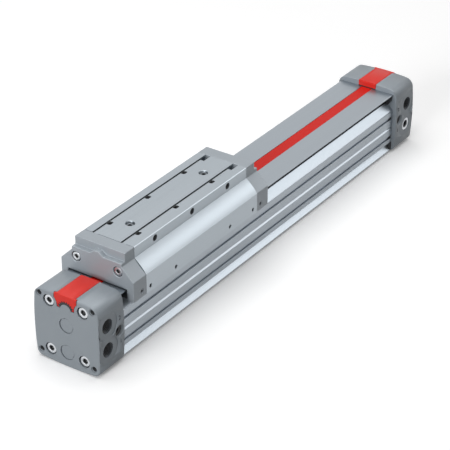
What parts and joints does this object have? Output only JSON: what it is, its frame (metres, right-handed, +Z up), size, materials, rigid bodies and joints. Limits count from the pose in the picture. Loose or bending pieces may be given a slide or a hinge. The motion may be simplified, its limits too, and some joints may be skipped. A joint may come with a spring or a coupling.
{
  "type": "rodless pneumatic cylinder",
  "caption": "Rodless pneumatic cylinder: slotted square barrel with grooves, bulged end caps with side ports, red band and a guided carriage with a grooved top",
  "frame": {"origin": "middle of the surface the end caps stand on: mid length, on the barrel's centre plane", "axes": "+X along the barrel from the cap beside the carriage to the far cap, +Z up towards the carriage's top, the ports face -Y"},
  "size_m": [0.452, 0.0664, 0.0836],
  "materials": {
    "barrel_aluminium": "anodised extrusion, fine lines along its length",
    "cast_aluminium": "blasted die casting, satin",
    "carriage_aluminium": "anodised extrusion, satin",
    "cap_aluminium": "blasted die casting, satin",
    "turned_aluminium": "turned and milled",
    "red_plastic": "moulded, fine grain",
    "red_band": "smooth polyurethane strip",
    "zinc_steel": "zinc plated",
    "spring_steel": "rolled spring steel strip",
    "black_rubber": "moulded nitrile rubber",
    "magnet_black": "plastic bonded magnet",
    "guide_plastic": "moulded acetal"
  },
  "bodies": {
    "cylinder": {"barrel_profile": "barrel_aluminium", "end_cap_left": "cast_aluminium", "end_cap_right": "cast_aluminium", "band_cover_left": "red_plastic", "band_cover_right": "red_plastic", "outer_band": "red_band", "end_cap_screws_left": "zinc_steel", "end_cap_screws_right": "zinc_steel", "port_plug": "zinc_steel", "band_clamp_screws": "zinc_steel", "cap_seal_left": "black_rubber", "cap_seal_right": "black_rubber", "inner_band": "spring_steel", "band_clamp_left": "turned_aluminium", "band_clamp_right": "turned_aluminium", "cushion_nose_left": "turned_aluminium", "cushion_nose_right": "turned_aluminium", "magnet_strips": "magnet_black"},
    "carriage": {"carriage_body": "carriage_aluminium", "slot_bars": "carriage_aluminium", "carriage_cap_left": "cap_aluminium", "carriage_cap_right": "cap_aluminium", "carriage_cap_screws_left": "zinc_steel", "carriage_cap_screws_right": "zinc_steel", "cap_side_screws": "zinc_steel", "guide_set_screws": "zinc_steel", "yoke_screws": "zinc_steel", "wiper_left": "black_rubber", "wiper_right": "black_rubber", "guide_shoe_front": "guide_plastic", "guide_shoe_rear": "guide_plastic", "piston_yoke": "turned_aluminium", "piston_left": "turned_aluminium", "piston_right": "turned_aluminium", "piston_seal_left": "black_rubber", "piston_seal_right": "black_rubber", "wear_ring_left": "guide_plastic", "wear_ring_right": "guide_plastic", "piston_magnet": "magnet_black", "band_guide_lower": "guide_plastic", "band_guide_upper": "guide_plastic"},
    "cushion_adjuster_left": {"cushion_screw_left": "zinc_steel"},
    "cushion_adjuster_right": {"cushion_screw_right": "zinc_steel"}
  },
  "joints": [
    {"name": "carriage_slide", "type": "slide", "parent": "cylinder", "child": "carriage", "axis": [1, 0, 0], "range_m": [-0.0065, 0.2075], "deforming": ["outer_band", "inner_band"]},
    {"name": "cushion_turn_left", "type": "hinge", "parent": "cylinder", "child": "cushion_adjuster_left", "pos_m": [-0.2023, -0.0244, 0.0299], "axis": [0, -1, 0], "range_deg": [-180, 540]},
    {"name": "cushion_turn_right", "type": "hinge", "parent": "cylinder", "child": "cushion_adjuster_right", "pos_m": [0.2023, -0.0244, 0.0299], "axis": [0, -1, 0], "range_deg": [-180, 540]}
  ]
}
